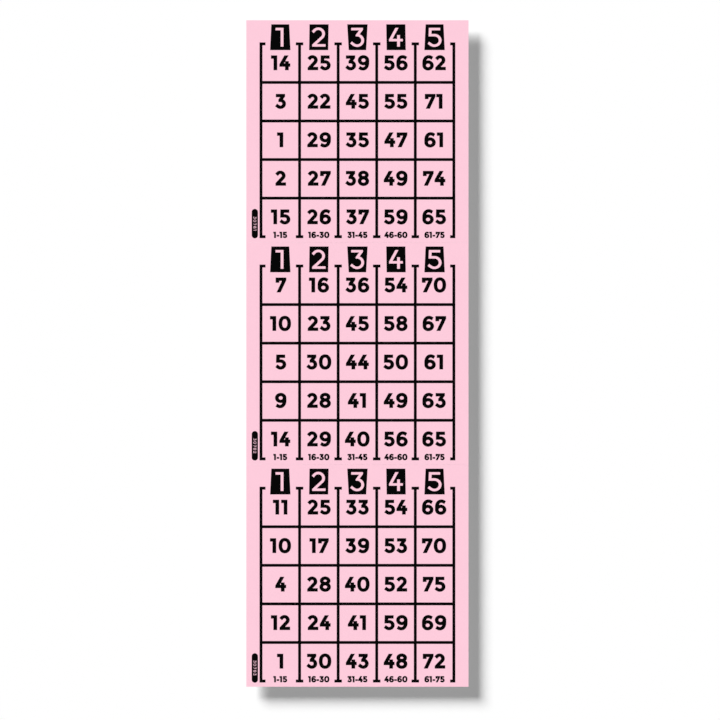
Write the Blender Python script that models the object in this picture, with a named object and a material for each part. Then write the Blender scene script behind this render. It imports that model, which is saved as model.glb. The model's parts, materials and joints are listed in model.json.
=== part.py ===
"""Bingo card strip, modelled as the real one is made.

Three square cards lie end to end in one strip of thin card stock. A row of die cuts crosses
the strip between each two cards. The ties of stock left between the cuts join the cards, are
the line that the strip folds along, and tear when a card is taken off. The strip folds in a
zigzag: the head card over the printed face of the middle one, the foot card under its back.

The printed layout is a set of thin films of ink on the stock. On each card it is a ruled grid
of five columns and five rows, a black tile at the head of each column and a black pill in the
left margin.

Lengths are in metres, +Z is up and +Y runs to the head of the strip. The origin is under the
middle of the strip, on the surface that it lies on.
"""

import math

import bmesh
import bpy

MM = 0.001
INCH = 25.4 * MM

# Card stock
CARD_WIDTH = 4.0 * INCH
CARD_LENGTH = 4.0 * INCH
STOCK_THICKNESS = 0.30 * MM

# Die cuts between two cards: the longest cut that the dies make, its opening measured along
# the strip, and the tie of stock left between two cuts
LONGEST_CUT = 1.75 * MM
CUT_OPENING = 0.04 * MM
TIE_LENGTH = 0.75 * MM

# Printing ink, and the air left between two inked faces that are folded together
INK_THICKNESS = 0.02 * MM
FOLD_CLEARANCE = 0.06 * MM

# Ruled grid: margins run from the card's edge to the middle of the outermost rule
COLUMNS = 5
ROWS = 5
SIDE_MARGIN = 6.70 * MM
HEAD_MARGIN = 10.78 * MM
FOOT_MARGIN = 2.62 * MM
RULE_WEIGHT = 1.33 * MM
CROSSBAR_OVERHANG = 1.04 * MM
LEFT_CORNER_OVERHANG = 1.40 * MM

# Tile at the head of each column
TILE_WIDTH = 9.5 * MM
TILE_HEIGHT = 11.8 * MM
TILE_HEAD_GAP = 1.85 * MM

# Pill in the left margin, beside the lowest row
PILL_WIDTH = 2.84 * MM
PILL_LENGTH = 13.49 * MM
PILL_RULE_GAP = 0.73 * MM
PILL_FOOT_GAP = 1.86 * MM
PILL_END_STEPS = 12

# Corners of the five tiles, from the lower left one anticlockwise, as shares of the tile's
# width from its middle and of its height from its foot
TILE_CORNER_SHARES = (
    ((-0.49, 0.00), (0.49, 0.00), (0.43, 1.00), (-0.43, 1.00)),
    ((-0.47, 0.00), (0.45, 0.00), (0.47, 1.00), (-0.45, 1.00)),
    ((-0.42, 0.00), (0.42, 0.00), (0.49, 1.00), (-0.49, 1.00)),
    ((-0.45, 0.00), (0.47, 0.00), (0.45, 1.00), (-0.47, 1.00)),
    ((-0.49, 0.00), (0.49, 0.00), (0.43, 1.00), (-0.43, 1.00)),
)

# Colours as sRGB shares, and how rough each finish is
STOCK_COLOUR = (0.996, 0.800, 0.863)
STOCK_ROUGHNESS = 0.75
INK_COLOUR = (0.020, 0.020, 0.020)
INK_ROUGHNESS = 0.55

# Places that follow from the sizes above
HALF_WIDTH = CARD_WIDTH / 2
HALF_LENGTH = CARD_LENGTH / 2
CUT_COUNT = math.ceil((CARD_WIDTH - TIE_LENGTH) / (LONGEST_CUT + TIE_LENGTH))
CUT_PITCH = (CARD_WIDTH - TIE_LENGTH) / CUT_COUNT
COLUMN_PITCH = (CARD_WIDTH - 2 * SIDE_MARGIN) / COLUMNS
ROW_PITCH = (CARD_LENGTH - HEAD_MARGIN - FOOT_MARGIN) / ROWS
GRID_LEFT = SIDE_MARGIN - HALF_WIDTH
GRID_RIGHT = HALF_WIDTH - SIDE_MARGIN
GRID_FOOT = FOOT_MARGIN - HALF_LENGTH
GRID_HEAD = HALF_LENGTH - HEAD_MARGIN
FOLD_STANDOFF = INK_THICKNESS + FOLD_CLEARANCE / 2


def clear_scene():
    """Remove every object that the file opened with."""
    for thing in list(bpy.data.objects):
        bpy.data.objects.remove(thing, do_unlink=True)


def linear(colour):
    """Turn an sRGB colour into the linear one that a shader takes, with full alpha."""
    return tuple(((share + 0.055) / 1.055) ** 2.4 for share in colour) + (1.0,)


def finish(name, colour, roughness):
    """Make a plain Principled material."""
    material = bpy.data.materials.new(name)
    material.use_nodes = True
    shader = material.node_tree.nodes["Principled BSDF"]
    shader.inputs["Base Color"].default_value = linear(colour)
    shader.inputs["Roughness"].default_value = roughness
    shader.inputs["Metallic"].default_value = 0.0
    return material


def slab(name, points, faces, underside, thickness, material):
    """Raise a flat plan, given as (x, y) points and faces, into a closed slab."""
    shape = bmesh.new()
    corners = [shape.verts.new((x, y, underside)) for x, y in points]
    for face in faces:
        shape.faces.new([corners[index] for index in face])
    raised = bmesh.ops.extrude_face_region(shape, geom=shape.faces[:])
    lifted = [item for item in raised["geom"] if isinstance(item, bmesh.types.BMVert)]
    bmesh.ops.translate(shape, verts=lifted, vec=(0.0, 0.0, thickness))
    bmesh.ops.recalc_face_normals(shape, faces=shape.faces[:])
    mesh = bpy.data.meshes.new(name)
    shape.to_mesh(mesh)
    shape.free()
    mesh.materials.append(material)
    piece = bpy.data.objects.new(name, mesh)
    bpy.context.scene.collection.objects.link(piece)
    return piece


def outline_slab(name, outline, underside, thickness, material):
    """Raise one closed outline into a slab."""
    return slab(name, outline, [range(len(outline))], underside, thickness, material)


def die_cut_edge(line, into_card):
    """Give a card's edge along a tear line, from left to right.

    The ties end on the line, where they meet the next card's. Between them each cut takes half
    of its opening from this card; into_card is 1 or -1, towards the card.
    """
    bite = line + into_card * CUT_OPENING / 2
    edge = [(-HALF_WIDTH, line)]
    for cut in range(CUT_COUNT):
        start = -HALF_WIDTH + TIE_LENGTH + cut * CUT_PITCH
        end = start + CUT_PITCH - TIE_LENGTH
        edge += [(start, line), (start, bite), (end, bite), (end, line)]
    edge.append((HALF_WIDTH, line))
    return edge


def trimmed_edge(line):
    """Give a card's plain edge at an end of the strip, from left to right."""
    return [(-HALF_WIDTH, line), (HALF_WIDTH, line)]


def card(name, joined_at_foot, joined_at_head):
    """Make one card of the strip about its own centre, with die cuts where it is joined."""
    foot = die_cut_edge(-HALF_LENGTH, 1) if joined_at_foot else trimmed_edge(-HALF_LENGTH)
    head = die_cut_edge(HALF_LENGTH, -1) if joined_at_head else trimmed_edge(HALF_LENGTH)
    stock = finish(name + " stock", STOCK_COLOUR, STOCK_ROUGHNESS)
    return outline_slab(name, foot + head[::-1], 0.0, STOCK_THICKNESS, stock)


def ink_finish(name):
    """Make the black of one printed film."""
    return finish(name + " ink", INK_COLOUR, INK_ROUGHNESS)


def upright_bars(column_line):
    """Give the bars of one upright rule: its stem and the crossbar at each end.

    The crossbars of the two outermost rules reach only inwards, and those of the left one reach
    farther than the rest.
    """
    half = RULE_WEIGHT / 2
    middle = GRID_LEFT + column_line * COLUMN_PITCH
    inwards = LEFT_CORNER_OVERHANG if column_line == 0 else CROSSBAR_OVERHANG
    left = middle - half - (CROSSBAR_OVERHANG if column_line > 0 else 0.0)
    right = middle + half + (inwards if column_line < COLUMNS else 0.0)
    stem = (middle - half, GRID_FOOT - half, middle + half, GRID_HEAD + half)
    foot_bar = (left, GRID_FOOT - half, right, GRID_FOOT + half)
    head_bar = (left, GRID_HEAD - half, right, GRID_HEAD + half)
    return [stem, foot_bar, head_bar]


def level_bar(row_line):
    """Give the bar of one level rule, from the left outer rule to the right one."""
    half = RULE_WEIGHT / 2
    middle = GRID_FOOT + row_line * ROW_PITCH
    return (GRID_LEFT - half, middle - half, GRID_RIGHT + half, middle + half)


def merged_plan(bars):
    """Join overlapping bars into one plan, cut along all their edges.

    The bars' edges divide the plan into cells, and a cell is inked where a bar covers its
    middle. Returns the (x, y) points in use and the faces over them.
    """
    across = sorted({edge for bar in bars for edge in (bar[0], bar[2])})
    along = sorted({edge for bar in bars for edge in (bar[1], bar[3])})
    numbers = {}
    faces = []
    for column in range(len(across) - 1):
        for row in range(len(along) - 1):
            x = (across[column] + across[column + 1]) / 2
            y = (along[row] + along[row + 1]) / 2
            if any(bar[0] < x < bar[2] and bar[1] < y < bar[3] for bar in bars):
                corners = ((column, row), (column + 1, row), (column + 1, row + 1), (column, row + 1))
                faces.append([numbers.setdefault(corner, len(numbers)) for corner in corners])
    points = [(across[column], along[row]) for column, row in numbers]
    return points, faces


def ruled_grid(name):
    """Print the grid: six upright rules with crossbars at their ends, and four level ones."""
    bars = [level_bar(line) for line in range(1, ROWS)]
    for line in range(COLUMNS + 1):
        bars += upright_bars(line)
    points, faces = merged_plan(bars)
    return slab(name, points, faces, STOCK_THICKNESS, INK_THICKNESS, ink_finish(name))


def header_tile(name, column):
    """Print the tile that stands over one column."""
    middle = GRID_LEFT + (column + 0.5) * COLUMN_PITCH
    foot = HALF_LENGTH - TILE_HEAD_GAP - TILE_HEIGHT
    shares = TILE_CORNER_SHARES[column % len(TILE_CORNER_SHARES)]
    outline = [(middle + across * TILE_WIDTH, foot + up * TILE_HEIGHT) for across, up in shares]
    return outline_slab(name, outline, STOCK_THICKNESS, INK_THICKNESS, ink_finish(name))


def margin_pill(name):
    """Print the pill, an upright bar with round ends."""
    radius = PILL_WIDTH / 2
    middle = GRID_LEFT - RULE_WEIGHT / 2 - PILL_RULE_GAP - radius
    low = PILL_FOOT_GAP - HALF_LENGTH + radius
    high = low + PILL_LENGTH - PILL_WIDTH
    outline = []
    for centre, first_angle in ((high, 0.0), (low, math.pi)):
        for step in range(PILL_END_STEPS + 1):
            angle = first_angle + math.pi * step / PILL_END_STEPS
            outline.append((middle + radius * math.cos(angle), centre + radius * math.sin(angle)))
    return outline_slab(name, outline, STOCK_THICKNESS, INK_THICKNESS, ink_finish(name))


def printed_card(place, joined_at_foot, joined_at_head):
    """Make one card and everything printed on it, about the card's own centre."""
    pieces = [card(place + "_card", joined_at_foot, joined_at_head)]
    pieces.append(ruled_grid(place + "_card_ruled_grid"))
    for column in range(COLUMNS):
        pieces.append(header_tile(f"{place}_card_header_tile_{column + 1}", column))
    pieces.append(margin_pill(place + "_card_margin_pill"))
    return pieces


def fold_axis(name, line, height):
    """Place an empty on a fold's axis, which runs along X."""
    axis = bpy.data.objects.new(name, None)
    axis.location = (0.0, line, height)
    bpy.context.scene.collection.objects.link(axis)
    return axis


def hang_on(pieces, centre_line, axis=None):
    """Stand a card's pieces at their place in the strip, carried by a fold's axis if it has one."""
    for piece in pieces:
        piece.location = (0.0, centre_line, 0.0)
        if axis is not None:
            piece.location -= axis.location
            piece.parent = axis


def bingo_card_strip():
    """Make the three cards and set them end to end on their two folds."""
    upper = fold_axis("upper_fold_axis", HALF_LENGTH, STOCK_THICKNESS + FOLD_STANDOFF)
    lower = fold_axis("lower_fold_axis", -HALF_LENGTH, -FOLD_STANDOFF)
    hang_on(printed_card("middle", True, True), 0.0)
    hang_on(printed_card("top", True, False), CARD_LENGTH, upper)
    hang_on(printed_card("bottom", False, True), -CARD_LENGTH, lower)


clear_scene()
bingo_card_strip()
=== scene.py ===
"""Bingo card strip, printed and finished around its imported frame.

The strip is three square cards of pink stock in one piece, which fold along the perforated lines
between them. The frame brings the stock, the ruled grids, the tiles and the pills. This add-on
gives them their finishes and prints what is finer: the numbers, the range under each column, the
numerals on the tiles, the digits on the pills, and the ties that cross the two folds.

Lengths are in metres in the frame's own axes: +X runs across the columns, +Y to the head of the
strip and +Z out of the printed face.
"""

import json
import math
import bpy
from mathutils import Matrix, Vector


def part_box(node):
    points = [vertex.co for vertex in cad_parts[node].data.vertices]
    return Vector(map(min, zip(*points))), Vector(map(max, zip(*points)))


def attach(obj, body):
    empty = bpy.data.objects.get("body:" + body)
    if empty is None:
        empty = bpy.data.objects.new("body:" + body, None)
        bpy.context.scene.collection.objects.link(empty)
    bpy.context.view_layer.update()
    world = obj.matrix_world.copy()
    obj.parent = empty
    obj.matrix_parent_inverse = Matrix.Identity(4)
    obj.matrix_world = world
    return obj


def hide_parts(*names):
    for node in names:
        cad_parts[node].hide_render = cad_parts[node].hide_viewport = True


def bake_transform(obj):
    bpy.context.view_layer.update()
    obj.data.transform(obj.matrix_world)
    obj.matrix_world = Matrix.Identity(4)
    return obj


bl_info = {
    "name": "Bingo Card Strip",
    "version": (1, 0, 0),
    "blender": (4, 5, 0),
    "location": "3D View > Sidebar > Bingo Strip",
    "description": "Prints and finishes a folding strip of three bingo cards in a plain studio",
    "category": "Add Mesh",
}

from collections import namedtuple
from functools import lru_cache

import bpy
import numpy as np
from bpy.props import FloatProperty, FloatVectorProperty, PointerProperty, StringProperty
from mathutils import Color, Vector
from mathutils.geometry import delaunay_2d_cdt

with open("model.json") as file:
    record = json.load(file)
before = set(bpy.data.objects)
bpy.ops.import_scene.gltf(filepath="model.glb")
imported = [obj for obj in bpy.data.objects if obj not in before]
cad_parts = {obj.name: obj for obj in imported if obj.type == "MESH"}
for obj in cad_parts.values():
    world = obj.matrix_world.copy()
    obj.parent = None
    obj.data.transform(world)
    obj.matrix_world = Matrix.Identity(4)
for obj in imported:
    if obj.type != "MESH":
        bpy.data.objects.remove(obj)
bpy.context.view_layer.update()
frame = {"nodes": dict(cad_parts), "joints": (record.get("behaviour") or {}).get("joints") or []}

MM = 0.001
COLUMNS = 5
ROWS = 5
PLACES = ("top", "middle", "bottom")
STOCK_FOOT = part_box("middle_card")[0].z
STOCK_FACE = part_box("middle_card")[1].z
INK_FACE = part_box("middle_card_ruled_grid")[1].z
WELD = 0.001 * MM


def linear(colour):
    """Turn an sRGB colour into the linear one that a shader takes."""
    return tuple(Color(colour).from_srgb_to_scene_linear())


# Typeface: a numeral is a few strokes of an oval pen that is held level. Places and sizes are
# shares of the numeral's height, x from its left edge and y from its foot. Strokes are given by
# their outer edges, so a numeral keeps its size with every pen. The side rooms are what a numeral
# keeps free on its left and right, and a pen's spacing comes on top of both.

Pen = namedtuple("Pen", "width height spacing")
Block = namedtuple("Block", "left foot right head")
Slope = namedtuple("Slope", "foot head side")
Bow = namedtuple("Bow", "centre radii turn lead tail fullness", defaults=(2.0,))
Ring = namedtuple("Ring", "centre radii fullness", defaults=(2.0,))

BOLD_PEN = Pen(0.251, 0.226, 0.0)
HEAVY_PEN = Pen(0.290, 0.262, -0.072)
LIGHT_PEN = Pen(0.150, 0.132, 0.25)
TO_THE_RIGHT, TO_THE_LEFT = 1, -1
STEPS_PER_TURN = 96
STEPS_PER_TIE = 24
ROUNDS_TO_SETTLE = 6
SIDE_ROOM_SHARES = {
    "0": (0.051, 0.064),
    "1": (0.026, 0.109),
    "2": (0.038, 0.061),
    "3": (0.028, 0.059),
    "4": (0.036, 0.044),
    "5": (0.047, 0.048),
    "6": (0.059, 0.044),
    "7": (0.051, 0.023),
    "8": (0.054, 0.065),
    "9": (0.054, 0.059),
    "-": (0.079, 0.079),
}
TURNED_NUMERALS = {"9": "6"}


def numeral_strokes(w, h):
    """Lay out the strokes of the numerals for a pen w wide and h high.

    A block is a rectangle. A slope lies to one side of an edge from its foot to its head, and its
    ends are level. A ring is given by its outer edge, and a bow is the part of a ring that turns
    between two angles. A lead and a tail carry a bow straight on by a length, or a tail to a
    corner.

    The knee is how deep a level stroke stays where it turns into a slanted one. The hook is where
    the slanted stroke of the 3 comes down on its bow.
    """
    knee = 0.8 * h
    hook = 0.379 + 0.75 * knee
    return {
        "0": (Ring((0.420, 0.5), (0.420, 0.518), 2.25),),
        "1": (Block(0.422 - w, 0.0, 0.422, 1.0), Block(0.0, 1 - h, 0.422, 1.0)),
        "2": (
            Bow((0.346, 0.683), (0.355, 0.335), (140, -42), 0.12, (0.02, knee)),
            Block(0.02, 0.0, 0.73, knee),
            Block(0.12, 0.0, 0.73, h),
        ),
        "3": (
            Block(0.04, 1 - knee, 0.664, 1.0),
            Block(0.04, 1 - h, 0.56, 1.0),
            Slope((hook, 0.62), (0.664, 1 - knee), TO_THE_LEFT),
            Block(hook - math.hypot(w, 0.75 * h), 0.677 - h, 0.37, 0.62),
            Bow((0.355, 0.331), (0.371, 0.346), (95, -130), 0.0, 0.17),
        ),
        "4": (
            Block(0.0, 0.346 - h / 2, 0.735, 0.346 + h / 4),
            Block(0.1, 0.346 - h / 2, 0.735, 0.346 + h / 2),
            Slope((0.0, 0.346 + h / 4), (0.336, 1.0), TO_THE_RIGHT),
            Block(0.505 - w / 2, 0.0, 0.505 + w / 2, 0.614),
        ),
        "5": (
            Slope((0.035, 0.676 - h), (0.052, 1.0), TO_THE_RIGHT),
            Block(0.15, 1 - h, 0.653, 1.0),
            Block(0.1, 0.676 - h, 0.36, 0.676),
            Bow((0.346, 0.331), (0.379, 0.346), (95, -129), 0.0, 0.16),
        ),
        "6": (
            Ring((0.386, 0.324), (0.386, 0.344)),
            Block(0.0, 0.324, w, 0.52),
            Bow((0.431, 0.5), (0.431, 0.518), (65, 180), 0.13, 0.0, 2.15),
        ),
        "7": (
            Block(0.0, 1 - knee, 0.722, 1.0),
            Block(0.0, 1 - h, 0.6, 1.0),
            Block(0.0, 1 - 1.55 * h, w, 1.0),
            Slope((0.335, 0.0), (0.722, 1 - knee), TO_THE_LEFT),
        ),
        "8": (Ring((0.385, 0.727), (0.359, 0.294)), Ring((0.385, 0.310), (0.385, 0.329))),
        "-": (Block(0.0, 0.365 - h / 2, 0.412, 0.365 + h / 2),),
    }


def pen_reach(path, pen, closed=False):
    """Give how far the pen's edge lies to the left of each point of a path.

    A level oval pen of width w and height h reaches sqrt((w u / 2)^2 + (h v / 2)^2) to each side of
    a path whose unit normal is (u, v).
    """
    if closed:
        along = np.roll(path, -1, axis=0) - np.roll(path, 1, axis=0)
    else:
        along = np.gradient(path, axis=0)
    along /= np.linalg.norm(along, axis=1)[:, None]
    normal = np.column_stack((-along[:, 1], along[:, 0]))
    reach = np.linalg.norm(normal * (pen.width / 2, pen.height / 2), axis=1)
    return normal * reach[:, None]


def oval_path(centre, radii, degrees, fullness):
    """Give points on an oval at the given angles.

    With c and s the cosine and sine of an angle and f the fullness, x is cx + rx c |c|^(2/f - 1)
    and y is cy + ry s |s|^(2/f - 1). A fullness of 2 is an ellipse, and more of it a squarer oval.
    """
    angles = np.radians(degrees)
    unit = np.column_stack((np.cos(angles), np.sin(angles)))
    shaped = np.sign(unit) * np.abs(unit) ** (2 / fullness)
    return np.asarray(centre) + np.asarray(radii) * shaped


def run_on(path, length):
    """Give the point that lies a length straight on from the end of a path."""
    heading = path[-1] - path[-2]
    return path[-1] + heading / np.linalg.norm(heading) * length


def run_to_corner(start, corner, pen):
    """Give the end of a straight run whose right edge ends in a corner.

    The end lies to the left of the corner by the pen's reach. The reach turns with the run, so both
    are found in a few rounds.
    """
    end = np.array(corner)
    for _ in range(ROUNDS_TO_SETTLE):
        end = corner + pen_reach(np.array((start, end)), pen)[0]
    return end


def bow_path(bow, radii, pen):
    """Give the path of a bow with its lead and its tail, from the radii of its path."""
    steps = round(abs(bow.turn[1] - bow.turn[0]) * STEPS_PER_TURN / 360)
    path = oval_path(bow.centre, radii, np.linspace(*bow.turn, steps + 1), bow.fullness)
    lead = [run_on(path[::-1], bow.lead)] if bow.lead else []
    if isinstance(bow.tail, tuple):
        tail = [run_to_corner(path[-1], bow.tail, pen)]
    else:
        tail = [run_on(path, bow.tail)] if bow.tail else []
    return np.array((*lead, *path, *tail))


def stroke_edges(stroke, pen):
    """Give the two edges that the pen leaves along one stroke, point by point.

    A slope is sqrt(w^2 + (h run / rise)^2) wide on the level. The path of a ring or a bow lies half
    a pen inside its outer edge.
    """
    if isinstance(stroke, Block):
        left, foot, right, head = stroke
        return np.array(((left, head), (right, head))), np.array(((left, foot), (right, foot)))
    if isinstance(stroke, Slope):
        edge = np.array((stroke.foot, stroke.head))
        run, rise = edge[1] - edge[0]
        width = math.hypot(pen.width, pen.height * run / rise)
        return edge, edge + (stroke.side * width, 0.0)
    radii = np.array(stroke.radii) - (pen.width / 2, pen.height / 2)
    if isinstance(stroke, Bow):
        path = bow_path(stroke, radii, pen)
        reach = pen_reach(path, pen)
    else:
        degrees = np.arange(STEPS_PER_TURN) * 360 / STEPS_PER_TURN
        path = oval_path(stroke.centre, radii, degrees, stroke.fullness)
        reach = pen_reach(path, pen, closed=True)
        path = np.concatenate((path, path[:1]))
        reach = np.concatenate((reach, reach[:1]))
    return path + reach, path - reach


@lru_cache(maxsize=None)
def numeral_quads(character, pen):
    """Give a numeral as a pile of four-cornered steps, each an (x, y) row for each corner.

    One step of a stroke lies between two neighbouring points of its left edge and the same two of
    its right edge. A turned numeral is another one turned half way round its own middle.
    """
    if character in TURNED_NUMERALS:
        quads = numeral_quads(TURNED_NUMERALS[character], pen)
        return quads.min(axis=(0, 1)) + quads.max(axis=(0, 1)) - quads
    strokes = numeral_strokes(pen.width, pen.height)[character]
    edges = [stroke_edges(stroke, pen) for stroke in strokes]
    steps = [
        np.stack((left[:-1], right[:-1], right[1:], left[1:]), axis=1) for left, right in edges
    ]
    quads = np.concatenate(steps)
    return quads - (quads[..., 0].min(), 0.0)


def counterclockwise(rings):
    """Turn over each ring of corners that runs clockwise, by the sign of its shoelace area."""
    after = np.roll(rings, -1, axis=1)
    area = (rings[..., 0] * after[..., 1] - rings[..., 1] * after[..., 0]).sum(axis=1)
    return np.where((area < 0)[:, None, None], rings[:, ::-1], rings)


def inked_plan(quads, board=None):
    """Merge overlapping steps into one flat plan, as points and the triangles between them.

    The plane is divided along every side. Without a board the plan is what any step covers. With
    one, a ring of corners, it is what of the board no step covers.
    """
    corners = counterclockwise(quads).reshape(-1, 2)
    faces = np.arange(len(corners)).reshape(-1, 4).tolist()
    if board is not None:
        faces.append(list(range(len(corners), len(corners) + len(board))))
        corners = np.concatenate((corners, counterclockwise(board[None])[0]))
    flat = [Vector(corner) for corner in corners.tolist()]
    points, _, triangles, _, _, covers = delaunay_2d_cdt(flat, [], faces, 0, WELD, True)
    wanted = [bool(over) if board is None else over == [len(faces) - 1] for over in covers]
    kept = np.array(triangles)[np.array(wanted)]
    used, renumbered = np.unique(kept, return_inverse=True)
    return np.array([tuple(point) for point in points])[used], renumbered.reshape(-1, 3)


@lru_cache(maxsize=None)
def numeral_plan(character, pen):
    """Give a numeral as one flat plan, a unit high."""
    return inked_plan(numeral_quads(character, pen))


def line_starts(text, pen):
    """Give where each numeral of a line starts, with the line centred on x = 0.

    Each moves along by the widths of those before it and the room that each keeps on both sides.
    """
    rooms = np.array([SIDE_ROOM_SHARES[one] for one in text]) + pen.spacing / 2
    widths = np.array([np.ptp(numeral_quads(one, pen)[..., 0]) for one in text])
    ends = np.cumsum(widths + rooms.sum(axis=1))
    return ends - widths - rooms[:, 1] - ends[-1] / 2


def line_plans(text, height, middle, foot, pen):
    """Set numerals side by side as flat plans, centred on x = middle and standing on y = foot."""
    starts = line_starts(text, pen)
    plans = [numeral_plan(one, pen) for one in text]
    return [
        (points * height + (middle + start * height, foot), triangles)
        for (points, triangles), start in zip(plans, starts)
    ]


def line_quads(text, height, pen):
    """Set numerals side by side as steps, centred on the origin both ways."""
    starts = line_starts(text, pen)
    placed = [numeral_quads(one, pen) + (start, -0.5) for one, start in zip(text, starts)]
    return np.concatenate(placed) * height


def joined(plans):
    """Put flat plans into one, with the triangles of each counted on from those before."""
    starts = np.cumsum([0] + [len(points) for points, _ in plans[:-1]])
    faces = [triangles + start for (_, triangles), start in zip(plans, starts)]
    return np.concatenate([points for points, _ in plans]), np.concatenate(faces)


def film(plan, low, high):
    """Raise a flat plan into a closed film.

    Its points stand once at the low height and once at the high one. Its triangles close the film
    above and, turned over, below. A side that only one triangle has is on the rim and gets a wall.
    """
    points, triangles = plan
    count = len(points)
    sides = np.concatenate((triangles[:, (0, 1)], triangles[:, (1, 2)], triangles[:, (2, 0)]))
    forward = sides[:, 0] * count + sides[:, 1]
    backward = sides[:, 1] * count + sides[:, 0]
    rim = sides[~np.isin(forward, backward)]
    walls = np.column_stack((rim, rim[:, ::-1] + count))
    solid = np.column_stack((np.concatenate((points, points)), np.repeat((low, high), count)))
    faces = triangles[:, ::-1].tolist() + (triangles + count).tolist() + walls.tolist()
    return solid, faces


def tie_blocks(spans, line, reach, skin):
    """Carry one four-cornered section per tie along a short path across a fold.

    The section of a tie spans its (left, right) pair by the stock's thickness, a skin proud of the
    stock all round. It stands at even places from line - reach to line + reach, and each two
    neighbouring sections are joined by four walls. The first and the last are closed.
    """
    left, right = spans[:, 0] - skin, spans[:, 1] + skin
    low, high = STOCK_FOOT - skin, STOCK_FACE + skin
    along = np.linspace(line - reach, line + reach, STEPS_PER_TIE + 1)
    points = np.empty((len(spans), len(along), 4, 3))
    points[..., 0] = np.stack((left, right, right, left), axis=1)[:, None]
    points[..., 1] = along[:, None]
    points[..., 2] = (low, low, high, high)
    number = np.arange(points.size // 3).reshape(points.shape[:-1])
    after = np.roll(number, -1, axis=2)
    walls = np.stack((number[:, :-1], number[:, 1:], after[:, 1:], after[:, :-1]), axis=-1)
    ends = np.concatenate((number[:, 0], number[:, -1, ::-1]))
    faces = walls.reshape(-1, 4).tolist() + ends.tolist()
    return points.reshape(-1, 3), faces


# Pieces and their places in the frame


def fresh_object(name, data):
    """Put a new object into the scene, in the place of an older one of that name."""
    older = bpy.data.objects.get(name)
    if older is not None:
        bpy.data.objects.remove(older, do_unlink=True)
    newer = bpy.data.objects.new(name, data)
    bpy.context.scene.collection.objects.link(newer)
    return newer


def make_piece(name, points, faces, finish):
    """Make a mesh object of one finish."""
    mesh = bpy.data.meshes.new(name)
    mesh.from_pydata(points.tolist(), [], faces)
    if mesh.validate():
        raise RuntimeError(f"the mesh of {name} has faces that Blender had to mend")
    mesh.materials.append(finish)
    return fresh_object(name, mesh)


def print_film(name, plan, place, ink):
    """Print a flat plan on a card's face as a film of ink, which rides with the card."""
    piece = make_piece(name, *film(plan, STOCK_FACE, INK_FACE), ink)
    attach(piece, f"{place}_panel")
    return piece


def node_points(name):
    """Give the corners of a frame node, one (x, y, z) row each."""
    vertices = frame["nodes"][name].data.vertices
    points = np.empty(len(vertices) * 3)
    vertices.foreach_get("co", points)
    return points.reshape(-1, 3)


def node_outline(name):
    """Give the plan of a frame node that bulges all round, as corners in order round its middle."""
    welded = np.round(node_points(name)[:, :2] / WELD).astype(int)
    corners = np.unique(welded, axis=0) * WELD
    spokes = corners - middle_of(name)
    return corners[np.argsort(np.arctan2(spokes[:, 1], spokes[:, 0]))]


def middle_of(name):
    """Give the (x, y) middle of a frame node's box."""
    low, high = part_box(name)
    return np.array((low + high)[:2]) / 2


def tie_spans(name, line):
    """Give the (left, right) pairs between which a card's edge reaches a fold line."""
    points = node_points(name)
    on_line = points[np.abs(points[:, 1] - line) < WELD, 0]
    return np.unique(np.round(on_line / WELD)).reshape(-1, 2) * WELD


def paint_node(name, finish):
    """Give a frame node a finish."""
    for slot in frame["nodes"][name].material_slots:
        slot.link = "OBJECT"
        slot.material = finish


# Finishes

FIBRE_ANGLES = tuple(math.radians(degrees) for degrees in (12, 74, 133))
EDGE_BELOW = 0.5


def empty_finish(name):
    """Give a material and its empty node tree. One of that name is emptied and used again."""
    finish = bpy.data.materials.get(name) or bpy.data.materials.new(name)
    finish.use_nodes = True
    finish.node_tree.nodes.clear()
    return finish, finish.node_tree


def principled_finish(name):
    """Give a material with a Principled shader alone, its node tree and the shader."""
    finish, tree = empty_finish(name)
    shader = add_node(tree, "ShaderNodeBsdfPrincipled")
    add_node(tree, "ShaderNodeOutputMaterial", {"Surface": shader.outputs["BSDF"]})
    return finish, tree, shader


def add_node(tree, kind, sockets=None, **settings):
    """Add a node with its settings. A socket takes a value or another node's output."""
    node = tree.nodes.new(kind)
    for name, value in settings.items():
        setattr(node, name, value)
    for name, value in (sockets or {}).items():
        if isinstance(value, bpy.types.NodeSocket):
            tree.links.new(value, node.inputs[name])
        else:
            node.inputs[name].default_value = value
    return node


def add_math(tree, operation, *values):
    """Add a Math node and give its output."""
    return add_node(tree, "ShaderNodeMath", dict(enumerate(values)), operation=operation).outputs[0]


def add_at_least(tree, count, least):
    """Add a test of whether a whole count is at least a number, and give its output, 0 or 1."""
    return add_math(tree, "GREATER_THAN", count, least - 0.5)


def add_toned(tree, colour, tone):
    """Add a colour times a tone, and give the output."""
    sockets = {0: tuple(colour), "Scale": tone}
    return add_node(tree, "ShaderNodeVectorMath", sockets, operation="SCALE").outputs[0]


def add_colour_mix(tree, share, first, second):
    """Add a mix of two colours and give its output. The node's colour sockets have only numbers."""
    sockets = {0: share, 6: first, 7: second}
    return add_node(tree, "ShaderNodeMix", sockets, data_type="RGBA").outputs[2]


def add_shader_mix(tree, share, first, second):
    """Add a mix of two shaders and give it."""
    sockets = {0: share, 1: first.outputs[0], 2: second.outputs[0]}
    return add_node(tree, "ShaderNodeMixShader", sockets)


def add_noise(tree, place, patch, detail=2.0):
    """Add noise whose patches have the given size, and give its output from 0 to 1."""
    sockets = {"Vector": place, "Scale": 1 / patch, "Detail": detail}
    return add_node(tree, "ShaderNodeTexNoise", sockets).outputs["Fac"]


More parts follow.
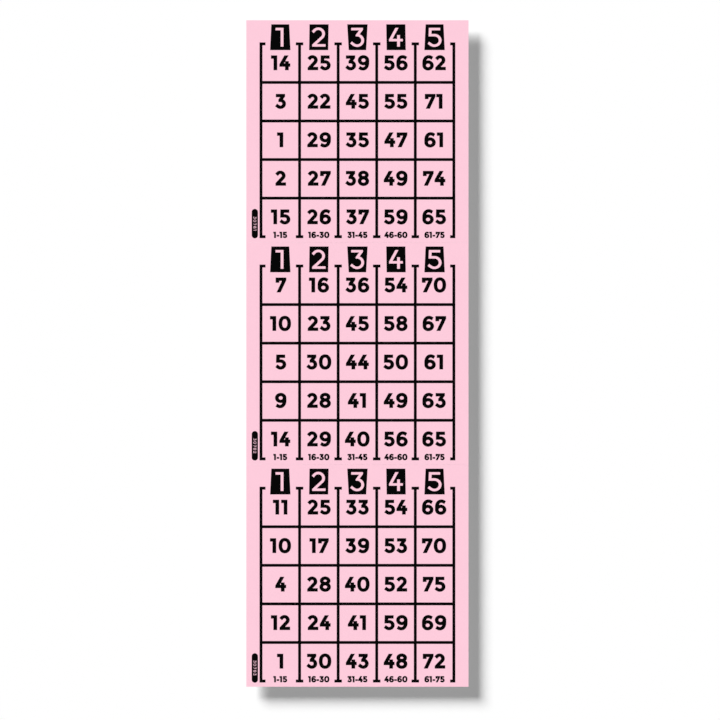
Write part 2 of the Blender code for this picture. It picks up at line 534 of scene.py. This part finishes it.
def add_fibres(tree, place, turn, width, length):
    """Add noise drawn out into long thin patches that lie at one angle, and give its output."""
    sockets = {"Vector": place, "Rotation": (0.0, 0.0, turn)}
    turned = add_node(tree, "ShaderNodeMapping", sockets).outputs["Vector"]
    sockets = {"Vector": turned, "Scale": (width / length, 1.0, 1.0)}
    drawn_out = add_node(tree, "ShaderNodeMapping", sockets).outputs["Vector"]
    return add_noise(tree, drawn_out, width)


def add_tone(tree, noise, reach):
    """Spread noise to a factor that runs a share of reach above and below 1, about its middle."""
    return add_math(tree, "MULTIPLY_ADD", noise, 2 * reach, 1 - reach)


def add_relief(tree, height, depth, under=None):
    """Add relief of a depth in metres, over another relief if one is given."""
    sockets = {"Height": height, "Distance": depth, "Strength": 1.0}
    if under is not None:
        sockets["Normal"] = under
    return add_node(tree, "ShaderNodeBump", sockets).outputs["Normal"]


def add_felt(tree, place, stock):
    """Add the felted face of card, and give its height from 0 to 1.

    It is the mean of a fine tooth and of fibres that cross at a few angles.
    """
    height = add_noise(tree, place, stock.fibre_width)
    for angle in FIBRE_ANGLES:
        fibres = add_fibres(tree, place, angle, stock.fibre_width, stock.fibre_length)
        height = add_math(tree, "ADD", height, fibres)
    return add_math(tree, "MULTIPLY", height, 1 / (1 + len(FIBRE_ANGLES)))


def stock_finish(settings):
    """Make the dyed card: soft clouds of tone, fine specks, a felted face and a paler cut edge.

    A cut edge is where the normal, one unit long, reaches less than EDGE_BELOW up or down.
    """
    stock = settings.stock
    finish, tree, shader = principled_finish("dyed card stock")
    coordinates = add_node(tree, "ShaderNodeTexCoord")
    place = coordinates.outputs["Object"]
    clouds = add_tone(tree, add_noise(tree, place, stock.cloud_size), stock.cloud_tone)
    specks = add_tone(tree, add_noise(tree, place, stock.speck_size, detail=4.0), stock.speck_tone)
    face = add_toned(tree, stock.colour, add_math(tree, "MULTIPLY", clouds, specks))
    normal = add_node(tree, "ShaderNodeSeparateXYZ", {0: coordinates.outputs["Normal"]})
    upright = add_math(tree, "ABSOLUTE", normal.outputs["Z"])
    cut = add_math(tree, "LESS_THAN", upright, EDGE_BELOW)
    colour = add_colour_mix(tree, cut, face, (*stock.edge_colour, 1.0))
    felt = add_relief(tree, add_felt(tree, place, stock), stock.felt_depth)
    tree.links.new(colour, shader.inputs["Base Color"])
    tree.links.new(felt, shader.inputs["Normal"])
    shader.inputs["Roughness"].default_value = stock.roughness
    shader.inputs["Specular IOR Level"].default_value = stock.gloss
    return finish


def ink_finish(settings):
    """Make the black ink: nearly even, a little drier in specks, with the card's felt under it."""
    ink = settings.ink
    finish, tree, shader = principled_finish("black printing ink")
    place = add_node(tree, "ShaderNodeTexCoord").outputs["Object"]
    dry = add_tone(tree, add_noise(tree, place, ink.speck_size, detail=3.0), ink.speck_tone)
    colour = add_toned(tree, ink.colour, dry)
    roughness = add_math(tree, "MULTIPLY", dry, ink.roughness)
    felt = add_relief(tree, add_felt(tree, place, settings.stock), ink.felt_depth)
    tree.links.new(colour, shader.inputs["Base Color"])
    tree.links.new(roughness, shader.inputs["Roughness"])
    tree.links.new(felt, shader.inputs["Normal"])
    shader.inputs["Specular IOR Level"].default_value = ink.gloss
    return finish


def floor_finish(settings):
    """Make the floor: plain matte paper from above, and open to the view from below.

    To the card over it, one diffuse bounce away, it glows evenly, so that the card's underside
    shows as well. Two bounces away it glows faintly in a colour that makes grey with the card's,
    so that the card doesn't tint its own shadow.
    """
    stage = settings.stage
    finish, tree = empty_finish("studio floor")
    paper = add_node(tree, "ShaderNodeBsdfDiffuse", {"Color": (*stage.floor_colour, 1.0)})
    bounces = add_node(tree, "ShaderNodeLightPath").outputs["Diffuse Depth"]
    colours = (*stage.underside_glow, 1.0), (*stage.shadow_glow, 1.0)
    colour = add_colour_mix(tree, add_at_least(tree, bounces, 2), *colours)
    glow = add_node(tree, "ShaderNodeEmission", {"Color": colour})
    above = add_shader_mix(tree, add_at_least(tree, bounces, 1), paper, glow)
    below = add_node(tree, "ShaderNodeNewGeometry").outputs["Backfacing"]
    both = add_shader_mix(tree, below, above, add_node(tree, "ShaderNodeBsdfTransparent"))
    add_node(tree, "ShaderNodeOutputMaterial", {"Surface": both.outputs[0]})
    finish.cycles.emission_sampling = "NONE"
    return finish


# Stage


def lay_floor(settings):
    """Lay one large square floor under the strip, low enough for the folded card and the shadow."""
    stage = settings.stage
    corners = np.array(((-1.0, -1.0, 0.0), (1.0, -1.0, 0.0), (1.0, 1.0, 0.0), (-1.0, 1.0, 0.0)))
    points = corners * stage.floor_size / 2 - (0.0, 0.0, stage.floor_drop)
    make_piece("studio_floor", points, [[0, 1, 2, 3]], floor_finish(settings))


def hang_sun(name, heading, level, spread, shadow=True):
    """Hang a sun that shines along a heading and lights a level white surface to a given level.

    A sun's strength is what falls on a surface square to it, and a level surface that takes it at a
    slant c, the cosine of its tilt, sends back strength x c / pi.
    """
    heading = Vector(heading).normalized()
    lamp = bpy.data.lights.new(name, "SUN")
    lamp.energy = level * math.pi / -heading.z
    lamp.angle = spread
    lamp.use_shadow = shadow
    sun = fresh_object(name, lamp)
    sun.rotation_euler = heading.to_track_quat("-Z", "Y").to_euler()


def light_world(settings):
    """Light the surroundings evenly, and show them white to the camera and in gloss and glass."""
    world = bpy.data.worlds.get("studio") or bpy.data.worlds.new("studio")
    bpy.context.scene.world = world
    world.use_nodes = True
    tree = world.node_tree
    tree.nodes.clear()
    path = add_node(tree, "ShaderNodeLightPath").outputs
    glossy_or_clear = add_math(tree, "MAXIMUM", path["Is Glossy Ray"], path["Is Transmission Ray"])
    seen = add_math(tree, "MAXIMUM", path["Is Camera Ray"], glossy_or_clear)
    unseen_level = settings.stage.world_level
    level = add_math(tree, "MULTIPLY_ADD", seen, 1 - unseen_level, unseen_level)
    white = {"Color": (1.0, 1.0, 1.0, 1.0), "Strength": level}
    glow = add_node(tree, "ShaderNodeBackground", white)
    add_node(tree, "ShaderNodeOutputWorld", {"Surface": glow.outputs[0]})


def hang_camera(settings):
    """Hang the camera over the strip, looking straight down, with a lens for the width in view."""
    stage = settings.stage
    optics = bpy.data.cameras.new("overhead_camera")
    optics.lens = optics.sensor_width * stage.camera_height / stage.view_width
    camera = fresh_object("overhead_camera", optics)
    camera.location = (stage.camera_across, stage.camera_along, stage.camera_height)
    bpy.context.scene.camera = camera


# Settings


class CardStockSettings(bpy.types.PropertyGroup):
    """The dyed card that the strip is cut from."""

    colour: FloatVectorProperty(
        name="Colour",
        description="Colour of the card's faces",
        default=linear((0.996, 0.800, 0.863)),
        min=0.0,
        max=1.0,
        subtype="COLOR",
    )
    edge_colour: FloatVectorProperty(
        name="Edge Colour",
        description="Colour of the cut edges, where the pulp inside the card shows",
        default=linear((0.996, 0.855, 0.898)),
        min=0.0,
        max=1.0,
        subtype="COLOR",
    )
    cloud_size: FloatProperty(
        name="Cloud Size",
        description="Size of the soft clouds of tone in the card",
        default=9 * MM,
        min=MM,
        precision=5,
        subtype="DISTANCE",
        unit="LENGTH",
    )
    cloud_tone: FloatProperty(
        name="Cloud Tone",
        description="How far the clouds lighten and darken the colour",
        default=0.012,
        min=0.0,
        max=1.0,
        subtype="FACTOR",
    )
    speck_size: FloatProperty(
        name="Speck Size",
        description="Size of the fine specks of tone in the card",
        default=0.2 * MM,
        min=0.01 * MM,
        precision=5,
        subtype="DISTANCE",
        unit="LENGTH",
    )
    speck_tone: FloatProperty(
        name="Speck Tone",
        description="How far the specks lighten and darken the colour",
        default=0.06,
        min=0.0,
        max=1.0,
        subtype="FACTOR",
    )
    fibre_width: FloatProperty(
        name="Fibre Width",
        description="Width of the paper fibres in the card's face",
        default=0.09 * MM,
        min=0.01 * MM,
        precision=5,
        subtype="DISTANCE",
        unit="LENGTH",
    )
    fibre_length: FloatProperty(
        name="Fibre Length",
        description="Length of the paper fibres in the card's face",
        default=1.2 * MM,
        min=0.01 * MM,
        precision=5,
        subtype="DISTANCE",
        unit="LENGTH",
    )
    felt_depth: FloatProperty(
        name="Felt Depth",
        description="Depth of the relief that the fibres make",
        default=0.04 * MM,
        min=0.0,
        precision=5,
        subtype="DISTANCE",
        unit="LENGTH",
    )
    roughness: FloatProperty(
        name="Roughness",
        description="Roughness of the card's face",
        default=0.85,
        min=0.0,
        max=1.0,
        subtype="FACTOR",
    )
    gloss: FloatProperty(
        name="Gloss",
        description="Specular level of the card's face, where 0.5 is that of plastic",
        default=0.15,
        min=0.0,
        max=1.0,
        subtype="FACTOR",
    )


class InkSettings(bpy.types.PropertyGroup):
    """The black ink that the strip is printed with."""

    colour: FloatVectorProperty(
        name="Colour",
        description="Colour of the ink",
        default=linear((0.012, 0.012, 0.012)),
        min=0.0,
        max=1.0,
        subtype="COLOR",
    )
    speck_size: FloatProperty(
        name="Speck Size",
        description="Size of the specks in which the ink is drier",
        default=0.25 * MM,
        min=0.01 * MM,
        precision=5,
        subtype="DISTANCE",
        unit="LENGTH",
    )
    speck_tone: FloatProperty(
        name="Speck Tone",
        description="How far the ink's colour and roughness vary in the specks",
        default=0.25,
        min=0.0,
        max=1.0,
        subtype="FACTOR",
    )
    felt_depth: FloatProperty(
        name="Felt Depth",
        description="Depth of the card's relief that comes through the ink",
        default=0.01 * MM,
        min=0.0,
        precision=5,
        subtype="DISTANCE",
        unit="LENGTH",
    )
    roughness: FloatProperty(
        name="Roughness",
        description="Roughness of the ink",
        default=0.6,
        min=0.0,
        max=1.0,
        subtype="FACTOR",
    )
    gloss: FloatProperty(
        name="Gloss",
        description="Specular level of the ink, where 0.5 is that of plastic",
        default=0.01,
        min=0.0,
        max=1.0,
        subtype="FACTOR",
    )


class NumberSettings(bpy.types.PropertyGroup):
    """The numbers in the cells, row by row from the head of each card."""

    top: StringProperty(
        name="Top Card",
        description="Numbers of the top card, with a comma after each row",
        default="14 25 39 56 62, 3 22 45 55 71, 1 29 35 47 61, 2 27 38 49 74, 15 26 37 59 65",
    )
    middle: StringProperty(
        name="Middle Card",
        description="Numbers of the middle card, with a comma after each row",
        default="7 16 36 54 70, 10 23 45 58 67, 5 30 44 50 61, 9 28 41 49 63, 14 29 40 56 65",
    )
    bottom: StringProperty(
        name="Bottom Card",
        description="Numbers of the bottom card, with a comma after each row",
        default="11 25 33 54 66, 10 17 39 53 70, 4 28 40 52 75, 12 24 41 59 69, 1 30 43 48 72",
    )
    height: FloatProperty(
        name="Height",
        description="Height of the numerals",
        default=6.78 * MM,
        min=MM,
        precision=5,
        subtype="DISTANCE",
        unit="LENGTH",
    )
    column_pitch: FloatProperty(
        name="Column Pitch",
        description="Distance across between the middles of two numbers",
        default=17.53 * MM,
        min=MM,
        precision=5,
        subtype="DISTANCE",
        unit="LENGTH",
    )
    row_pitch: FloatProperty(
        name="Row Pitch",
        description="Distance down between the feet of two numbers",
        default=17.61 * MM,
        min=MM,
        precision=5,
        subtype="DISTANCE",
        unit="LENGTH",
    )
    foot_drop: FloatProperty(
        name="Foot Drop",
        description="How far the feet of the middle row's numbers lie below the middle of the grid",
        default=3.18 * MM,
        precision=5,
        subtype="DISTANCE",
        unit="LENGTH",
    )


class SmallPrintSettings(bpy.types.PropertyGroup):
    """The ranges, the numerals on the tiles and the digits on the pills."""

    ranges: StringProperty(
        name="Ranges",
        description="The range under each column",
        default="1-15 16-30 31-45 46-60 61-75",
    )
    range_height: FloatProperty(
        name="Range Height",
        description="Height of the ranges' numerals",
        default=2.86 * MM,
        min=0.1 * MM,
        precision=5,
        subtype="DISTANCE",
        unit="LENGTH",
    )
    range_pitch: FloatProperty(
        name="Range Pitch",
        description="Distance across between the middles of two ranges",
        default=17.63 * MM,
        min=MM,
        precision=5,
        subtype="DISTANCE",
        unit="LENGTH",
    )
    range_rise: FloatProperty(
        name="Range Rise",
        description="How far the ranges stand above the foot of the grid",
        default=0.07 * MM,
        precision=5,
        subtype="DISTANCE",
        unit="LENGTH",
    )
    tile_numerals: StringProperty(
        name="Tile Numerals",
        description="What is left open in each tile",
        default="1 2 3 4 5",
    )
    tile_height: FloatProperty(
        name="Tile Numeral Height",
        description="Height of the numerals that are left open in the tiles",
        default=8.6 * MM,
        min=0.1 * MM,
        precision=5,
        subtype="DISTANCE",
        unit="LENGTH",
    )
    pill_digits: StringProperty(
        name="Pill Digits",
        description="What is left open in the pill of each card, from the head of the strip",
        default="30781 30782 30783",
    )
    pill_height: FloatProperty(
        name="Pill Digit Height",
        description="Height of the digits that are left open in the pills",
        default=1.3 * MM,
        min=0.1 * MM,
        precision=5,
        subtype="DISTANCE",
        unit="LENGTH",
    )


class FoldSettings(bpy.types.PropertyGroup):
    """The ties of stock that cross the folds."""

    tie_reach: FloatProperty(
        name="Tie Reach",
        description="How far a tie's bend reaches on each side of its fold",
        default=0.12 * MM,
        min=0.01 * MM,
        precision=5,
        subtype="DISTANCE",
        unit="LENGTH",
    )
    tie_skin: FloatProperty(
        name="Tie Skin",
        description="How far a tie stands proud of the card round it",
        default=0.004 * MM,
        min=0.0,
        precision=6,
        subtype="DISTANCE",
        unit="LENGTH",
    )


class StageSettings(bpy.types.PropertyGroup):
    """The floor, the light and the camera."""

    floor_colour: FloatVectorProperty(
        name="Floor Colour",
        description="Colour of the floor",
        default=(1.0, 1.0, 1.0),
        min=0.0,
        max=1.0,
        subtype="COLOR",
    )
    underside_glow: FloatVectorProperty(
        name="Underside Glow",
        description="How the floor lights the card's underside",
        default=(0.6, 0.6, 0.6),
        min=0.0,
        max=1.0,
        subtype="COLOR",
    )
    shadow_glow: FloatVectorProperty(
        name="Shadow Glow",
        description="How the floor lights its own shadow by way of the card",
        default=(0.072, 0.12, 0.1),
        min=0.0,
        max=1.0,
        subtype="COLOR",
    )
    floor_size: FloatProperty(
        name="Floor Size",
        description="Length of the floor's sides",
        default=12.0,
        min=1.0,
        subtype="DISTANCE",
        unit="LENGTH",
    )
    floor_drop: FloatProperty(
        name="Floor Drop",
        description="How far the floor lies below the strip",
        default=7 * MM,
        min=MM,
        precision=5,
        subtype="DISTANCE",
        unit="LENGTH",
    )
    shadow_across: FloatProperty(
        name="Shadow Across",
        description="How far the shadow falls to the right of the strip",
        default=6.85 * MM,
        precision=5,
        subtype="DISTANCE",
        unit="LENGTH",
    )
    shadow_along: FloatProperty(
        name="Shadow Along",
        description="How far the shadow falls towards the foot of the strip",
        default=7.3 * MM,
        precision=5,
        subtype="DISTANCE",
        unit="LENGTH",
    )
    key_spread: FloatProperty(
        name="Key Spread",
        description="Angle that the key light takes up, which softens the shadow's edge",
        default=math.radians(23),
        min=0.0,
        max=math.pi,
        subtype="ANGLE",
        unit="ROTATION",
    )
    key_level: FloatProperty(
        name="Key Level",
        description="How light the key light alone makes a level white surface",
        default=0.69,
        min=0.0,
        max=1.0,
        subtype="FACTOR",
    )
    fill_level: FloatProperty(
        name="Fill Level",
        description="How light the light from overhead alone makes a level white surface",
        default=0.27,
        min=0.0,
        max=1.0,
        subtype="FACTOR",
    )
    fill_spread: FloatProperty(
        name="Fill Spread",
        description="Angle that the light from overhead takes up",
        default=math.radians(6),
        min=0.0,
        max=math.pi,
        subtype="ANGLE",
        unit="ROTATION",
    )
    world_level: FloatProperty(
        name="World Level",
        description="How light the surroundings alone make a white surface",
        default=0.04,
        min=0.0,
        max=1.0,
        subtype="FACTOR",
    )
    view_width: FloatProperty(
        name="View Width",
        description="Width of the picture at the strip",
        default=0.3293,
        min=0.01,
        precision=4,
        subtype="DISTANCE",
        unit="LENGTH",
    )
    camera_height: FloatProperty(
        name="Camera Height",
        description="Height of the camera over the strip",
        default=3.0,
        min=0.1,
        subtype="DISTANCE",
        unit="LENGTH",
    )
    camera_across: FloatProperty(
        name="Camera Across",
        description="How far the camera hangs to the right of the strip's middle",
        default=1.18 * MM,
        precision=5,
        subtype="DISTANCE",
        unit="LENGTH",
    )
    camera_along: FloatProperty(
        name="Camera Along",
        description="How far the camera hangs towards the head of the strip from its middle",
        default=-2.97 * MM,
        precision=5,
        subtype="DISTANCE",
        unit="LENGTH",
    )


class BingoStripSettings(bpy.types.PropertyGroup):
    """Everything that can be set on the strip."""

    stock: PointerProperty(name="Card Stock", type=CardStockSettings)
    ink: PointerProperty(name="Ink", type=InkSettings)
    numbers: PointerProperty(name="Numbers", type=NumberSettings)
    small_print: PointerProperty(name="Small Print", type=SmallPrintSettings)
    folds: PointerProperty(name="Folds", type=FoldSettings)
    stage: PointerProperty(name="Stage", type=StageSettings)


# Operators


def past_middle(number, count):
    """Give how many places a numbered one lies past the middle of a row of so many."""
    return number - (count - 1) / 2


def words_of(text, count, what):
    """Split a setting into its words, and refuse it if their number is wrong."""
    words = text.split()
    if len(words) != count:
        raise ValueError(f"{what} needs {count} words, and {text!r} has {len(words)}")
    unknown = set("".join(words)) - set(SIDE_ROOM_SHARES)
    if unknown:
        raise ValueError(f"{what} can't be printed, because the typeface has no {sorted(unknown)}")
    return words


class BINGO_OT_finish_stock(bpy.types.Operator):
    """Give the three cards the finish of dyed card stock"""

    bl_idname = "bingo_strip.finish_stock"
    bl_label = "Finish Card Stock"
    bl_options = {"REGISTER", "UNDO"}

    def execute(self, context):
        stock = stock_finish(context.scene.bingo_strip)
        for place in PLACES:
            paint_node(f"{place}_card", stock)
        return {"FINISHED"}


class BINGO_OT_print_grids(bpy.types.Operator):
    """Give the ruled grid of each card the finish of printing ink"""

    bl_idname = "bingo_strip.print_grids"
    bl_label = "Print Ruled Grids"
    bl_options = {"REGISTER", "UNDO"}

    def execute(self, context):
        ink = ink_finish(context.scene.bingo_strip)
        for place in PLACES:
            paint_node(f"{place}_card_ruled_grid", ink)
        return {"FINISHED"}


class BINGO_OT_print_numbers(bpy.types.Operator):
    """Print the numbers in the cells of each card"""

    bl_idname = "bingo_strip.print_numbers"
    bl_label = "Print Numbers"
    bl_options = {"REGISTER", "UNDO"}

    def execute(self, context):
        settings = context.scene.bingo_strip
        numbers = settings.numbers
        ink = ink_finish(settings)
        for place in PLACES:
            rows = getattr(numbers, place).split(",")
            if len(rows) != ROWS:
                raise ValueError(f"the {place} card needs {ROWS} rows of numbers")
            across, along = middle_of(f"{place}_card_ruled_grid")
            plans = []
            for row, text in enumerate(rows):
                foot = along - past_middle(row, ROWS) * numbers.row_pitch - numbers.foot_drop
                for column, number in enumerate(words_of(text, COLUMNS, f"row {row + 1}")):
                    middle = across + past_middle(column, COLUMNS) * numbers.column_pitch
                    plans += line_plans(number, numbers.height, middle, foot, BOLD_PEN)
            print_film(f"{place}_card_numbers", joined(plans), place, ink)
        return {"FINISHED"}


class BINGO_OT_print_ranges(bpy.types.Operator):
    """Print the range of numbers under each column of each card"""

    bl_idname = "bingo_strip.print_ranges"
    bl_label = "Print Column Ranges"
    bl_options = {"REGISTER", "UNDO"}

    def execute(self, context):
        settings = context.scene.bingo_strip
        small = settings.small_print
        ink = ink_finish(settings)
        for place in PLACES:
            across = middle_of(f"{place}_card_ruled_grid")[0]
            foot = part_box(f"{place}_card_ruled_grid")[0].y + small.range_rise
            plans = []
            for column, text in enumerate(words_of(small.ranges, COLUMNS, "the line of ranges")):
                middle = across + past_middle(column, COLUMNS) * small.range_pitch
                plans += line_plans(text, small.range_height, middle, foot, HEAVY_PEN)
            print_film(f"{place}_card_column_ranges", joined(plans), place, ink)
        return {"FINISHED"}


class BINGO_OT_print_tiles(bpy.types.Operator):
    """Print the tile over each column, with a numeral left open in it"""

    bl_idname = "bingo_strip.print_tiles"
    bl_label = "Print Header Tiles"
    bl_options = {"REGISTER", "UNDO"}

    def execute(self, context):
        settings = context.scene.bingo_strip
        small = settings.small_print
        ink = ink_finish(settings)
        numerals = words_of(small.tile_numerals, COLUMNS, "the line of tile numerals")
        for place in PLACES:
            for column, numeral in enumerate(numerals, start=1):
                node = f"{place}_card_header_tile_{column}"
                opening = line_quads(numeral, small.tile_height, LIGHT_PEN) + middle_of(node)
                plan = inked_plan(opening, node_outline(node))
                tile = print_film(f"{place}_card_open_tile_{column}", plan, place, ink)
                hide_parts(node)
        return {"FINISHED"}


class BINGO_OT_print_pills(bpy.types.Operator):
    """Print the pill in the margin of each card, with digits left open that read downwards"""

    bl_idname = "bingo_strip.print_pills"
    bl_label = "Print Margin Pills"
    bl_options = {"REGISTER", "UNDO"}

    def execute(self, context):
        settings = context.scene.bingo_strip
        small = settings.small_print
        ink = ink_finish(settings)
        lines = words_of(small.pill_digits, len(PLACES), "the line of pill digits")
        for place, digits in zip(PLACES, lines):
            node = f"{place}_card_margin_pill"
            level = line_quads(digits, small.pill_height, LIGHT_PEN)
            turned = level[..., ::-1] * (1.0, -1.0)
            plan = inked_plan(turned + middle_of(node), node_outline(node))
            pill = print_film(f"{place}_card_open_pill", plan, place, ink)
            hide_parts(node)
        return {"FINISHED"}


class BINGO_OT_tie_folds(bpy.types.Operator):
    """Make the ties of stock that cross each fold, between the cuts of its perforation"""

    bl_idname = "bingo_strip.tie_folds"
    bl_label = "Tie Folds"
    bl_options = {"REGISTER", "UNDO"}

    def execute(self, context):
        settings = context.scene.bingo_strip
        reach = settings.folds.tie_reach
        stock = stock_finish(settings)
        for joint in frame["joints"]:
            line = joint["pos_m"][1]
            spans = tie_spans("middle_card", line)
            ties = make_piece(
                f"{joint['name']}_ties",
                *tie_blocks(spans, line, reach, settings.folds.tie_skin),
                stock,
            )
            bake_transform(ties)
        return {"FINISHED"}


class BINGO_OT_set_stage(bpy.types.Operator):
    """Lay the floor, hang the lights and set the camera over the strip"""

    bl_idname = "bingo_strip.set_stage"
    bl_label = "Set Stage"
    bl_options = {"REGISTER", "UNDO"}

    def execute(self, context):
        settings = context.scene.bingo_strip
        stage = settings.stage
        slant = (stage.shadow_across, -stage.shadow_along, -stage.floor_drop)
        downwards = (0.0, 0.0, -1.0)
        lay_floor(settings)
        hang_sun("key_light", slant, stage.key_level, stage.key_spread)
        # The overhead light throws no shadow, so that the key light's is the only one on the floor.
        hang_sun("overhead_light", downwards, stage.fill_level, stage.fill_spread, shadow=False)
        light_world(settings)
        hang_camera(settings)
        context.scene.view_settings.view_transform = "Standard"
        return {"FINISHED"}


STEPS = (
    BINGO_OT_finish_stock,
    BINGO_OT_print_grids,
    BINGO_OT_print_numbers,
    BINGO_OT_print_ranges,
    BINGO_OT_print_tiles,
    BINGO_OT_print_pills,
    BINGO_OT_tie_folds,
    BINGO_OT_set_stage,
)


class BINGO_PT_strip(bpy.types.Panel):
    """The strip's settings and the steps that make it"""

    bl_idname = "BINGO_PT_strip"
    bl_label = "Bingo Card Strip"
    bl_space_type = "VIEW_3D"
    bl_region_type = "UI"
    bl_category = "Bingo Strip"

    def draw(self, context):
        settings = context.scene.bingo_strip
        for group in settings.bl_rna.properties:
            if group.type != "POINTER" or group.identifier == "rna_type":
                continue
            box = self.layout.box()
            box.label(text=group.name)
            owner = getattr(settings, group.identifier)
            for setting in owner.bl_rna.properties:
                if setting.identifier not in {"rna_type", "name"}:
                    box.prop(owner, setting.identifier)
        for step in STEPS:
            self.layout.operator(step.bl_idname)


CLASSES = (
    CardStockSettings,
    InkSettings,
    NumberSettings,
    SmallPrintSettings,
    FoldSettings,
    StageSettings,
    BingoStripSettings,
    *STEPS,
    BINGO_PT_strip,
)


def register():
    """Register the classes and hang the settings on the scene."""
    for entry in CLASSES:
        bpy.utils.register_class(entry)
    bpy.types.Scene.bingo_strip = PointerProperty(type=BingoStripSettings)


def unregister():
    """Take the settings off the scene and unregister the classes."""
    del bpy.types.Scene.bingo_strip
    for entry in reversed(CLASSES):
        bpy.utils.unregister_class(entry)


def main():
    """Make the strip step by step."""
    register()
    for step in STEPS:
        getattr(bpy.ops.bingo_strip, step.bl_idname.split(".")[1])()


if __name__ == "__main__":
    main()
